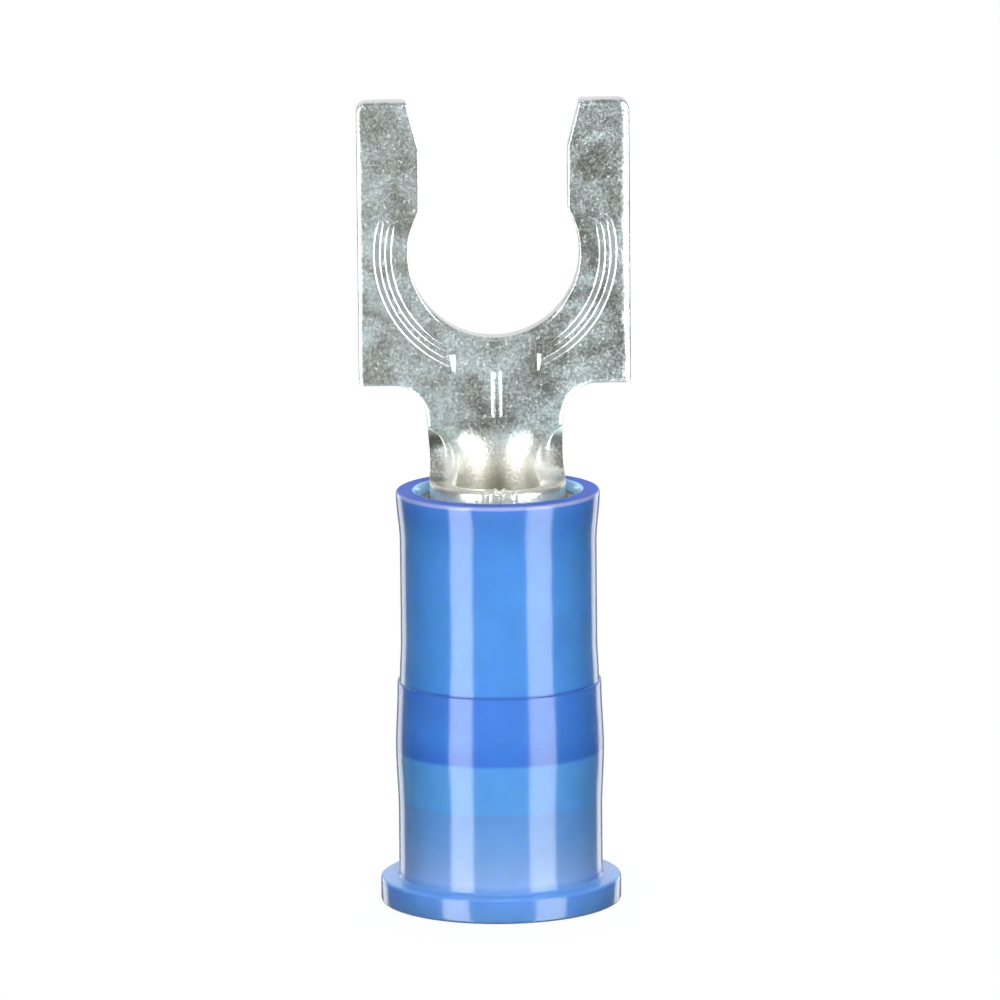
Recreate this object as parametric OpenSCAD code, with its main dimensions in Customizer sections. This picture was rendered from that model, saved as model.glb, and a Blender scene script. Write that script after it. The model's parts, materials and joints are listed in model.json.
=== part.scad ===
// Insulated fork terminal for one stranded wire and one screw stud.
// It stands on its wire flange: +Z runs along the barrel towards the prongs,
// the barrel's seam faces -Y and the flat tongue lies on the +Y side.

/* [Tongue] */
// Width across both prongs
tongue_w = 8; // [7.4:0.05:9.5]
// Thickness of the plated sheet, in the tongue and in the barrel's wall
sheet_t = 0.8; // [0.6:0.05:1]
// Diameter of the round seat for the stud
seat_d = 5.05; // [4.8:0.05:5.4]
// Gap between the prongs above the seat, where the stud snaps in
throat_gap = 4.38; // [3.8:0.02:4.6]
// Gap between the prongs at their tips
tip_gap = 5.1; // [4.7:0.05:5.6]
// Length of the lead-in taper at the tips
lead_in_l = 1.4; // [1:0.05:2.2]
// Height of the seat's centre above the plate's lower edge
seat_rise = 3.9; // [3.6:0.05:4.6]
// Height of the tips above the seat's centre
prong_l = 4.5; // [4.2:0.05:6]
// Radius where the seat runs into the throat
throat_r = 0.4; // [0.2:0.05:0.6]
// Radius of the prongs' outer corners
tip_corner_r = 0.33; // [0.1:0.01:0.5]
// Radius of the prongs' inner corners
tip_inner_r = 0.15; // [0.05:0.01:0.3]
// Radius of the plate's lower corners
plate_corner_r = 0.15; // [0.05:0.01:0.4]

/* [Stiffening grooves] */
// Sheet between the seat's wall and the inner groove
groove_land = 0.6; // [0.4:0.05:0.8]
// Width of one groove
groove_w = 0.2; // [0.1:0.01:0.25]
// Ridge left standing between the two grooves
groove_ridge = 0.13; // [0.1:0.01:0.25]
// Depth of the grooves
groove_depth = 0.05; // [0.03:0.01:0.2]
// Distance from the middle of the tongue to the grooves' centre, on the far side
groove_centre_x = 0.12; // [0:0.02:0.3]
// Where the grooves start, in degrees above the seat's centre
groove_start = 16; // [0:1:25]
// Where the grooves end, in degrees below the seat's centre
groove_end = 69.5; // [45:0.5:75]

/* [Neck and barrel] */
// Length of the flat shank between the plate and the formed neck
shank_l = 1.05; // [0.8:0.05:2]
// Radius between the plate and the shank
shank_fillet_r = 1.05; // [0.4:0.05:1.5]
// Length of the neck, over which the flat sheet curls into the barrel
neck_l = 1.6; // [1.2:0.05:2.5]
// Bore of the wire barrel
barrel_bore = 2.4; // [1.8:0.05:2.6]
// Length of the wire barrel
barrel_l = 5.95; // [5:0.05:8]
// Width of the V groove along the butted seam
seam_w = 0.16; // [0.1:0.02:0.3]
// Width of the notch where the seam meets the barrel's mouth
notch_w = 0.4; // [0.3:0.05:0.8]
// Depth of that notch
notch_h = 0.12; // [0.08:0.02:0.3]
// Width of the bevel inside the barrel's mouth, on the seam's side
lip_bevel_w = 0.4; // [0.1:0.05:0.5]
// Height of that bevel
lip_bevel_h = 0.5; // [0.1:0.05:0.7]
// Number of wire-gripping serrations in the bore
serrations = 3; // [2:1:5]
// Depth of a serration
serration_depth = 0.08; // [0.04:0.01:0.12]
// Width of a serration
serration_w = 0.35; // [0.2:0.05:0.5]

/* [Grip sleeve] */
// Wall of the sleeve
sleeve_t = 0.3; // [0.2:0.02:0.4]
// How far the sleeve reaches past the barrel's wire end
sleeve_reach = 2; // [1.2:0.05:3]
// How far the sleeve's upper end lies below the barrel's mouth
sleeve_drop = 0.5; // [0.4:0.05:1]
// Gap all round between two parts that are pressed together
press_gap = 0.02; // [0.01:0.005:0.04]

/* [Insulator] */
// How far the barrel's mouth stands above the insulator's rim
stand_out = 0.25; // [0.1:0.05:0.35]
// Wall round the barrel
waist_wall = 0.55; // [0.45:0.01:0.7]
// Wall below the step
skirt_wall = 0.665; // [0.6:0.005:0.9]
// How far the rim flares out
rim_flare = 0.11; // [0:0.01:0.2]
// Length of that flare
rim_flare_l = 1.6; // [1:0.1:2.5]
// How far the bore opens at the rim
rim_opening = 0.14; // [0.02:0.01:0.2]
// How far the waist widens just above the step
step_flare = 0.045; // [0:0.005:0.08]
// Length of that widening
step_flare_l = 1.3; // [0.6:0.1:2]
// How far the skirt bulges over the sleeve's lower end
bulge = 0.065; // [0:0.005:0.15]
// Half the length of the bulge
bulge_l = 1.9; // [1:0.1:2.5]
// Length of the funnel that leads the wire into the sleeve
funnel_l = 1.45; // [1:0.05:2.5]
// Length of the straight pocket for the wire's insulation, with its lead-in
pocket_l = 3.15; // [2:0.05:5]
// Bore of that pocket
pocket_bore = 4.7; // [4.3:0.05:4.9]
// How far the pocket opens at the flange
mouth_opening = 0.35; // [0.1:0.05:0.5]
// Length of the lead-in at the flange
mouth_l = 0.6; // [0.3:0.05:1]
// Diameter of the flange
flange_d = 7.1; // [6.6:0.05:8]
// Thickness of the flange
flange_t = 0.75; // [0.5:0.05:1.2]
// Radius of the flange's and the rim's edges
edge_r = 0.1; // [0.05:0.01:0.15]

/* [Hidden] */
$fn = 96;

eps = 0.01;
arc_steps = 8;
curve_steps = 12;
neck_rings = 16;
neck_columns = 28;
neck_inset = 0.02;
neck_root = 0.1;
fold_lag = 0.12;
fold_power = 0.58;
plated_colour = [0.74, 0.76, 0.78];
sleeve_colour = [0.66, 0.64, 0.6];
nylon_colour = [0.18, 0.42, 0.86];

// Heights, from the flange upwards
z_funnel = pocket_l;
z_sleeve = z_funnel + funnel_l;
z_barrel = z_sleeve + sleeve_reach;
z_mouth = z_barrel + barrel_l;
z_bend = z_mouth + neck_l;
z_plate = z_bend + shank_l;
z_seat = z_plate + seat_rise;
z_tip = z_seat + prong_l;
z_rim = z_mouth - stand_out;
z_sleeve_top = z_mouth - sleeve_drop;

// Radii, from the wire outwards
bore_r = barrel_bore / 2;
barrel_r = bore_r + sheet_t;
sleeve_in_r = barrel_r + press_gap;
sleeve_out_r = sleeve_in_r + sleeve_t;
holder_r = sleeve_out_r + press_gap;
waist_r = holder_r + waist_wall;
skirt_r = holder_r + skirt_wall;
pocket_r = pocket_bore / 2;
flange_r = flange_d / 2;
seat_r = seat_d / 2;

// The tongue's back face is in line with the back of the barrel
y_back = barrel_r;
y_front = y_back - sheet_t;
half_w = tongue_w / 2;
neck_half_w = barrel_r;
fillet_r = min(shank_fillet_r, shank_l - 2 * eps);

function ease(t) = (1 - cos(180 * t)) / 2;

function lead_in_x(z) =
    throat_gap / 2 + (tip_gap - throat_gap) / 2 * (z - z_tip + lead_in_l) / lead_in_l;

// Points on an arc in the plane of an outline
function arc(centre, r, from, to) =
    [for (i = [0 : arc_steps]) let (a = from + (to - from) * i / arc_steps) centre + r * [cos(a), sin(a)]];

function mirrored(points) = [for (i = [len(points) - 1 : -1 : 0]) [-points[i].x, points[i].y]];

// The prong's inner corner: a round between the top edge and the lead-in taper
function tip_inner_arc() =
    let (
        slope = atan((tip_gap - throat_gap) / 2 / lead_in_l),
        centre_z = z_tip - tip_inner_r,
        centre_x = lead_in_x(centre_z) + tip_inner_r / cos(slope)
    )
    arc([centre_x, centre_z], tip_inner_r, 90, 180 - slope);

// The round where the throat's wall runs out into the seat, ending just inside the seat's circle
function throat_arc() =
    let (
        reach = seat_r + throat_r,
        centre_x = throat_gap / 2 + throat_r,
        centre_z = sqrt(reach * reach - centre_x * centre_x),
        to_seat = 180 + atan2(centre_z, centre_x),
        round = arc([centre_x, z_seat + centre_z], throat_r, 180, to_seat)
    )
    concat(
        [for (i = [0 : arc_steps - 1]) round[i]],
        [[0, z_seat] + 0.97 * seat_r * [cos(to_seat - 180), sin(to_seat - 180)]]
    );

// Right half of the tongue's outline, from the bend up round the prong and down into the seat
function tongue_half() = concat(
    [[neck_half_w, z_bend]],
    arc([neck_half_w + fillet_r, z_plate - fillet_r], fillet_r, 180, 90),
    arc([half_w - plate_corner_r, z_plate + plate_corner_r], plate_corner_r, -90, 0),
    arc([half_w - tip_corner_r, z_tip - tip_corner_r], tip_corner_r, 0, 90),
    tip_inner_arc(),
    [[throat_gap / 2, z_tip - lead_in_l]],
    throat_arc()
);

// Turns a flat outline in x and z into a plate that reaches forwards from y
module upright(y, thickness) {
    translate([0, y, 0]) rotate([90, 0, 0]) linear_extrude(thickness) children();
}

// One coined groove beside the seat, as an arc on the tongue's front face
module stiffening_groove(inner_r) {
    translate([-groove_centre_x, y_front, z_seat]) rotate([90, 0, 0]) rotate([0, 0, -groove_end])
        rotate_extrude(angle = groove_end + groove_start)
            translate([inner_r, -groove_depth]) square([groove_w, groove_depth + eps]);
}

module tongue() {
    inner_r = seat_r + groove_land;
    difference() {
        upright(y_back, sheet_t) polygon(concat(tongue_half(), mirrored(tongue_half())));
        translate([0, y_back + eps, z_seat]) rotate([90, 0, 0]) cylinder(r = seat_r, h = sheet_t + 2 * eps);
        for (side = [0, 1]) mirror([side, 0, 0]) {
            stiffening_groove(inner_r);
            stiffening_groove(inner_r + groove_w + groove_ridge);
        }
    }
}

// How far the sheet has folded at a share of the neck's length: it starts gently, then curls fast
function neck_fold(t) = 90 * pow(t * t * (1 + fold_lag) / (t + fold_lag), fold_power);

// Section of the neck at a fold from 0 (flat) to 90 degrees (half a tube): one arc as wide as the barrel.
// along runs from -1 to 1 across the sheet, and depth is the distance in front of the back face.
function neck_point(fold, along, depth) =
    fold == 0
    ? [along * neck_half_w, y_back - depth]
    : let (outer_r = neck_half_w / sin(fold), r = outer_r - depth, turn = along * fold)
        [r * sin(turn), y_back - outer_r + r * cos(turn)];

// One ring of the loft: the back face from left to right, then the front face
function neck_ring(fold, z) = [
    for (depth = [neck_inset, sheet_t - neck_inset], i = [0 : neck_columns])
        let (
            along = (2 * i / neck_columns - 1) * (1 - neck_inset / neck_half_w),
            p = neck_point(fold, along, depth)
        )
        [p.x, p.y, z]
];

function quads(a, b, c, d) = [[a, b, c], [a, c, d]];

// Lofted sheet from the flat shank down to the half tube at the barrel's mouth. It is a hair thinner
// than both, so that its two roots sit inside the shank and inside the barrel's wall.
module neck() {
    face = neck_columns + 1;
    per_ring = 2 * face;
    steps = neck_rings + 2;
    last = steps * per_ring;
    rings = concat(
        [neck_ring(0, z_bend + neck_root)],
        [for (k = [0 : neck_rings]) let (t = k / neck_rings) neck_ring(neck_fold(t), z_bend - neck_l * t)],
        [neck_ring(90, z_mouth - neck_root)]
    );
    back = [for (k = [0 : steps - 1], i = [0 : neck_columns - 1]) let (a = k * per_ring + i)
        each quads(a, a + per_ring, a + per_ring + 1, a + 1)];
    front = [for (k = [0 : steps - 1], i = [0 : neck_columns - 1]) let (a = k * per_ring + face + i)
        each quads(a, a + 1, a + per_ring + 1, a + per_ring)];
    edges = [for (k = [0 : steps - 1]) let (a = k * per_ring, b = a + neck_columns) each concat(
        quads(a, a + face, a + face + per_ring, a + per_ring),
        quads(b, b + per_ring, b + face + per_ring, b + face))];
    top = [for (i = [0 : neck_columns - 1]) each quads(i, i + 1, i + face + 1, i + face)];
    bottom = [for (i = [0 : neck_columns - 1]) let (a = last + i)
        each quads(a, a + face, a + face + 1, a + 1)];
    polyhedron([for (ring = rings, p = ring) p], concat(back, front, edges, top, bottom), convexity = 4);
}

// Shallow V groove along the seam, and the wider notch at the barrel's mouth
module seam() {
    translate([0, -barrel_r, z_barrel - eps]) linear_extrude(barrel_l + 2 * eps)
        polygon([[-seam_w / 2, -eps], [seam_w / 2, -eps], [0, seam_w / 2]]);
    translate([0, -bore_r / 2, 0]) rotate([90, 0, 0]) linear_extrude(barrel_r)
        polygon([[-notch_w / 2, z_mouth + eps], [0, z_mouth - notch_h], [notch_w / 2, z_mouth + eps]]);
}

// Bevel that opens the mouth in front of the neck
module lip_bevel() {
    top_r = bore_r + lip_bevel_w * (1 + eps / lip_bevel_h);
    translate([0, 0, z_mouth - lip_bevel_h]) intersection() {
        cylinder(r1 = bore_r, r2 = top_r, h = lip_bevel_h + eps);
        translate([-barrel_r, -2 * barrel_r, 0]) cube([2 * barrel_r, 2 * barrel_r, lip_bevel_h + 2 * eps]);
    }
}

module barrel() {
    pitch = barrel_l / (serrations + 1);
    entry = sheet_t / 4;
    difference() {
        translate([0, 0, z_barrel]) cylinder(r = barrel_r, h = barrel_l);
        translate([0, 0, z_barrel - eps]) cylinder(r = bore_r, h = barrel_l + 2 * eps);
        translate([0, 0, z_barrel - eps]) cylinder(r1 = bore_r + entry + eps, r2 = bore_r, h = entry + eps);
        for (i = [1 : serrations])
            translate([0, 0, z_barrel + i * pitch - serration_w / 2])
                cylinder(r = bore_r + serration_depth, h = serration_w);
        lip_bevel();
        seam();
    }
}

module fork_terminal() {
    color(plated_colour) {
        tongue();
        neck();
        barrel();
    }
}

module grip_sleeve() {
    color(sleeve_colour) translate([0, 0, z_sleeve]) difference() {
        cylinder(r = sleeve_out_r, h = z_sleeve_top - z_sleeve);
        translate([0, 0, -eps]) cylinder(r = sleeve_in_r, h = z_sleeve_top - z_sleeve + 2 * eps);
    }
}

// Radii of the insulator's outer wall at a height
function skirt_x(z) = skirt_r + bulge * ease(max(0, 1 - abs(z - z_sleeve) / bulge_l));

function waist_x(z) = waist_r
    + rim_flare * ease(max(0, 1 - (z_rim - z) / rim_flare_l))
    + step_flare * ease(max(0, 1 - (z - z_barrel) / step_flare_l));

function samples(from, to) = [for (i = [0 : curve_steps]) from + (to - from) * i / curve_steps];

module insulator_wall() {
    polygon(concat(
        arc([flange_r - edge_r, edge_r], edge_r, -90, 0),
        arc([flange_r - edge_r, flange_t - edge_r], edge_r, 0, 90),
        [[skirt_x(flange_t), flange_t]],
        [for (z = samples(max(flange_t + eps, z_sleeve - bulge_l), z_barrel)) [skirt_x(z), z]],
        [for (z = samples(z_barrel, z_barrel + step_flare_l)) [waist_x(z), z]],
        [for (z = samples(z_rim - rim_flare_l, z_rim - 2 * edge_r)) [waist_x(z), z]],
        arc([waist_x(z_rim) - edge_r, z_rim - edge_r], edge_r, 0, 90),
        [
            [holder_r + rim_opening, z_rim],
            [holder_r, z_sleeve_top],
            [holder_r, z_sleeve],
            [sleeve_in_r, z_sleeve],
            [pocket_r, z_funnel],
            [pocket_r, mouth_l],
            [pocket_r + mouth_opening, 0]
        ]
    ));
}

module insulator() {
    color(nylon_colour) rotate_extrude() insulator_wall();
}

fork_terminal();
grip_sleeve();
insulator();
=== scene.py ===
import json
import math

import bmesh
import bpy
from mathutils import Matrix, Vector, noise


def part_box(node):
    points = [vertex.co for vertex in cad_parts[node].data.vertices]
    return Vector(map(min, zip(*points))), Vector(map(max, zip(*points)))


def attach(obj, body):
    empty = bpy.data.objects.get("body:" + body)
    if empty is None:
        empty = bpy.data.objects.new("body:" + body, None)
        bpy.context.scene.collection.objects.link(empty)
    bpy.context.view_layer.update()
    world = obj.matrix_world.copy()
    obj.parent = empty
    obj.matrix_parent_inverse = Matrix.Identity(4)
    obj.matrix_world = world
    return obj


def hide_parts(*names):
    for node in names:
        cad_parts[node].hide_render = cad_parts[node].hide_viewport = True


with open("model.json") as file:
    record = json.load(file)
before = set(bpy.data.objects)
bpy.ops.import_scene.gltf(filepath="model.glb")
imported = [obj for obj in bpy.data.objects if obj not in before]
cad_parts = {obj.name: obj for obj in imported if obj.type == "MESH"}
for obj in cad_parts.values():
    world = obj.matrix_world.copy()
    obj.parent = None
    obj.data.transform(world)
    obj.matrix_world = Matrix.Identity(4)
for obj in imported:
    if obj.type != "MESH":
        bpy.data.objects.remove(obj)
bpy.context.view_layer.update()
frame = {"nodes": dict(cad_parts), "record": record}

# Meshes are built in millimetres and scaled to metres once they are done
metre = 0.001


def millimetres(corners):
    return [[value / metre for value in corner] for corner in corners]


forkLow, forkHigh = millimetres(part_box("fork_terminal"))
sleeveLow, sleeveHigh = millimetres(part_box("grip_sleeve"))
tubeLow, tubeHigh = millimetres(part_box("insulator"))
mounts = {mount["name"]: mount for mount in frame["record"]["mounts"]}
seatHeight = mounts["stud_seat"]["pos_m"][2] / metre
seatRadius = mounts["stud_seat"]["dims"]["r_mm"]
sheetThickness = mounts["stud_seat"]["dims"]["length_mm"]
pocketRadius = mounts["insulation_pocket"]["dims"]["r_mm"]
barrelRadius = forkHigh[1]
backY = barrelRadius
frontY = backY - sheetThickness
print("frame loaded:", len(frame["nodes"]), "solids")


def linkObject(name, data):
    item = bpy.data.objects.new(name, data)
    bpy.context.scene.collection.objects.link(item)
    return item


def plainMesh(item):
    graph = bpy.context.evaluated_depsgraph_get()
    graph.update()
    return bpy.data.meshes.new_from_object(item.evaluated_get(graph))


def runModifier(name, mesh, kind, settings, inputs=None):
    # The result is a plain mesh, and the modifier goes
    carrier = linkObject(name, mesh)
    modifier = carrier.modifiers.new("Build", kind)
    for key, value in settings.items():
        setattr(modifier, key, value)
    for key, value in (inputs or {}).items():
        modifier[key] = value
    result = plainMesh(carrier)
    carrier.modifiers.remove(modifier)
    bpy.data.objects.remove(carrier)
    return result


def writeMesh(shape, mesh):
    bmesh.ops.recalc_face_normals(shape, faces=shape.faces)
    shape.to_mesh(mesh)
    shape.free()
    return mesh


def arcPoints(centre, radius, start, end, steps=8):
    points = []
    for step in range(steps + 1):
        angle = math.radians(start + (end - start) * step / steps)
        points.append((centre[0] + radius * math.cos(angle), centre[1] + radius * math.sin(angle)))
    return points


def ease(share):
    return (1 - math.cos(math.pi * min(1, max(0, share)))) / 2


# Small helpers for node trees

def feed(tree, node, inputs):
    # An input given as a socket is wired up, and any other value is set
    for key, value in inputs.items():
        if isinstance(value, bpy.types.NodeSocket):
            tree.links.new(value, node.inputs[key])
        else:
            node.inputs[key].default_value = value


def addNode(tree, kind, inputs=None, **settings):
    node = tree.nodes.new(kind)
    for key, value in settings.items():
        setattr(node, key, value)
    feed(tree, node, inputs or {})
    return node


def calc(tree, operation, *values, **settings):
    node = addNode(tree, "ShaderNodeMath", dict(enumerate(values)), operation=operation, **settings)
    return node.outputs["Value"]


def both(tree, first, second):
    return calc(tree, "MULTIPLY", first, second)


def vectorCalc(tree, operation, *values):
    node = addNode(tree, "ShaderNodeVectorMath", dict(enumerate(values)), operation=operation)
    return node.outputs["Value" if operation == "LENGTH" else "Vector"]


def scaleVector(tree, vector, factor):
    node = addNode(tree, "ShaderNodeVectorMath", {0: vector, "Scale": factor}, operation="SCALE")
    return node.outputs["Vector"]


def remap(tree, value, start, end, toStart=0.0, toEnd=1.0, **settings):
    # Start may be the larger
    limits = {"Value": value, "From Min": start, "From Max": end, "To Min": toStart, "To Max": toEnd}
    return addNode(tree, "ShaderNodeMapRange", limits, **settings).outputs["Result"]


def splitAxes(tree, vector):
    return addNode(tree, "ShaderNodeSeparateXYZ", {"Vector": vector}).outputs


def joinAxes(tree, **axes):
    return addNode(tree, "ShaderNodeCombineXYZ", axes).outputs["Vector"]


def startTree(name, kind, inputs, outputs={"Geometry": "Geometry"}):
    # An input is given by its first value, or by its kind where it has none
    socketKinds = {float: "Float", int: "Int", tuple: "Vector"}
    tree = bpy.data.node_groups.new(name, kind)
    for label, value in inputs.items():
        bare = isinstance(value, str)
        socketKind = value if bare else socketKinds[type(value)]
        socket = tree.interface.new_socket(label, in_out="INPUT", socket_type="NodeSocket" + socketKind)
        if not bare:
            socket.default_value = value
    for label, socketKind in outputs.items():
        tree.interface.new_socket(label, in_out="OUTPUT", socket_type="NodeSocket" + socketKind)
    entry = tree.nodes.new("NodeGroupInput")
    result = tree.nodes.new("NodeGroupOutput")
    return tree, entry.outputs, result.inputs


def finishTree(tree, geometry, result, finish=None):
    # Each tree ends in plain geometry with its finish
    real = addNode(tree, "GeometryNodeRealizeInstances", {"Geometry": geometry})
    coat = addNode(tree, "GeometryNodeSetMaterial", {"Geometry": real.outputs["Geometry"]})
    if finish is not None:
        feed(tree, coat, {"Material": finish})
    tree.links.new(coat.outputs["Geometry"], result["Geometry"])
    return tree


def runTree(name, mesh, tree, values):
    # Inputs go in by socket identifier
    sockets = [item for item in tree.interface.items_tree if item.in_out == "INPUT" and item.name in values]
    inputs = {item.identifier: values[item.name] for item in sockets}
    return runModifier(name, mesh, "NODES", {"node_group": tree}, inputs)


# Shader groups shared by the finishes. They work in millimetres.

mottling = {
    # Detail, roughness and distortion of each layer of noise
    "Patch Scale": (3.0, 0.55, 0.4),
    "Grain Scale": (4.0, 0.7, 0.2),
    "Fleck Scale": (1.0, 0.5, 0.8),
    # What part of the noise each output spreads over 0 to 1
    "Shade": (0.37, 0.63),
    "Tint": (0.38, 0.62),
    "Flecks": (0.65, 0.71),
    "heightBase": 0.35,
}


def mottleGroup():
    tree, entry, result = startTree(
        "mottledPlating",
        "ShaderNodeTree",
        {"Vector": "Vector", "Patch Scale": 1.5, "Grain Scale": 7.0, "Fleck Scale": 11.0},
        {"Shade": "Float", "Tint": "Float", "Flecks": "Float", "Height": "Float"},
    )

    def layer(label):
        inputs = dict(zip(("Detail", "Roughness", "Distortion"), mottling[label]))
        inputs.update({"Vector": entry["Vector"], "Scale": entry[label]})
        return addNode(tree, "ShaderNodeTexNoise", inputs).outputs["Fac"]

    patches, grain, specks = (layer(label) for label in ("Patch Scale", "Grain Scale", "Fleck Scale"))
    blend = addNode(tree, "ShaderNodeMix", {"Factor": 0.5, "A": patches, "B": grain}).outputs["Result"]
    for label, source in (("Shade", blend), ("Tint", patches), ("Flecks", specks)):
        tree.links.new(remap(tree, source, *mottling[label]), result[label])
    height = calc(tree, "MULTIPLY_ADD", specks, grain, mottling["heightBase"])
    tree.links.new(height, result["Height"])
    return tree


scuffing = {
    "lines": {"Scale": 3.0, "Detail": 2.0, "Roughness": 0.5},
    "lineRange": (0.62, 0.7),
    "areas": {"Scale": 0.8, "Detail": 2.0},
    "areaRange": (0.45, 0.6),
}


def scuffGroup():
    # Fine scratches that run one way, broken up by a coarser noise
    tree, entry, result = startTree(
        "handlingScuffs",
        "ShaderNodeTree",
        {"Vector": "Vector", "Stretch": (1.0, 1.0, 1.0), "Amount": 0.5},
        {"Mask": "Float"},
    )
    stretched = vectorCalc(tree, "MULTIPLY", entry["Vector"], entry["Stretch"])
    lines = addNode(tree, "ShaderNodeTexNoise", {"Vector": stretched, **scuffing["lines"]})
    areas = addNode(tree, "ShaderNodeTexNoise", {"Vector": entry["Vector"], **scuffing["areas"]})
    thin = remap(tree, lines.outputs["Fac"], *scuffing["lineRange"])
    spread = remap(tree, areas.outputs["Fac"], *scuffing["areaRange"])
    tree.links.new(both(tree, both(tree, thin, spread), entry["Amount"]), result["Mask"])
    return tree


mottledPlating = mottleGroup()
handlingScuffs = scuffGroup()


def mottleOutputs(tree, place, scales):
    return addNode(tree, "ShaderNodeGroup", {"Vector": place, **scales}, node_tree=mottledPlating).outputs


def scuffMask(tree, place, stretch, amount):
    inputs = {"Vector": place, "Stretch": stretch, "Amount": amount}
    return addNode(tree, "ShaderNodeGroup", inputs, node_tree=handlingScuffs).outputs["Mask"]


def startMaterial(name):
    material = bpy.data.materials.new(name)
    material.use_nodes = True
    tree = material.node_tree
    place = addNode(tree, "ShaderNodeTexCoord").outputs["Object"]
    return material, tree, tree.nodes["Principled BSDF"], scaleVector(tree, place, 1 / metre)


def addRamp(tree, stops, factor):
    ramp = addNode(tree, "ShaderNodeValToRGB", {"Fac": factor})
    elements = ramp.color_ramp.elements
    while len(elements) < len(stops):
        elements.new(1.0)
    for element, (place, colour) in zip(elements, stops):
        element.position = place
        element.color = (*colour, 1.0)
    return ramp.outputs["Color"]


def mixColour(tree, share, base, tone, blend="MIX"):
    inputs = {0: share, 6: base, 7: tone}
    return addNode(tree, "ShaderNodeMix", inputs, data_type="RGBA", blend_type=blend).outputs[2]


def mixTone(tree, base, mask, tone, share):
    return mixColour(tree, both(tree, mask, share), base, (*tone, 1.0))


def axisDistance(tree, place):
    return vectorCalc(tree, "LENGTH", vectorCalc(tree, "MULTIPLY", place, (1.0, 1.0, 0.0)))


def bumpNormal(tree, height, strength, distance):
    inputs = {"Height": height, "Strength": strength, "Distance": distance * metre}
    return addNode(tree, "ShaderNodeBump", inputs).outputs["Normal"]


# Finish of the stamped fork: tin plate, satin, mottled blue-grey with pale flecks

tinPlate = {
    "shades": [
        (0.0, (0.25, 0.277, 0.272)),
        (0.25, (0.39, 0.43, 0.425)),
        (0.5, (0.57, 0.626, 0.62)),
        (0.75, (0.755, 0.82, 0.815)),
        (1.0, (0.95, 0.97, 0.97)),
    ],
    "tints": [(0.0, (1.0, 0.985, 0.93)), (0.55, (0.98, 1.0, 0.99)), (1.0, (0.93, 1.0, 1.02))],
    "fleck": (0.9, 0.96, 0.97, 1.0),
    "roughness": (0.30, 0.37),
    # Darkest and lightest shade at the left and at the right, where the plate is blotchier
    "shadeLeft": (0.16, 0.86),
    "shadeRight": (-0.14, 0.88),
    "leftToRight": (-1.5, 1.5),
    "scales": {"Patch Scale": 1.0, "Grain Scale": 11.0, "Fleck Scale": 10.0},
    "bump": (0.6, 0.03),
    # Each part with a tone, its own or painted light and shade: the tone and its share, then where it lies
    # bore: pale warm tone, a painted highlight for light reflected inside the barrel
    "bore": ((1.0, 0.97, 0.89), 0.75),
    "boreHeights": (13.9, 12.8),
    "boreRadius": (1.75, 1.5),
    "boreRoughness": 0.14,
    "boreStreaks": (3.5, 3.5, 0.25),
    "streakRelief": -0.15,
    # painted shade deep at the back of the bore, at its middle
    "stain": ((0.42, 0.40, 0.30), 0.75),
    "stainX": 0.07,
    "stainHalfWidth": 0.75,
    "stainHeights": (13.2, 12.5),
    "wing": ((0.22, 0.215, 0.19), 0.65),
    "wingReach": (1.45, 1.7),
    "wingHeights": (14.1, 13.5),
    "wingShades": (0.8, 0.4),
    # pale tone outside below the mouth, with lower metallic: a painted sheen
    "rolled": ((0.9, 0.87, 0.78), 0.7),
    "rolledHeights": (12.62, 12.55),
    "rolledRoughness": -0.1,
    "rolledMetallic": 0.72,
    "frontToBack": (-0.3, 0.3),
    # The punch has smoothed the grooves' floors; the cut edges are painted near white as a painted highlight
    "coined": ((0.53, 0.585, 0.58), 0.75),
    "coinedDepths": (0.012, 0.02, 0.03, 0.04),
    # cut edges painted near white: a painted highlight
    "sheared": ((0.97, 0.98, 0.97), 0.65),
    "shearedDepths": (0.12, 0.2, 0.74, 0.79),
    "flatHeights": (14.6, 15.4),
}


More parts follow.
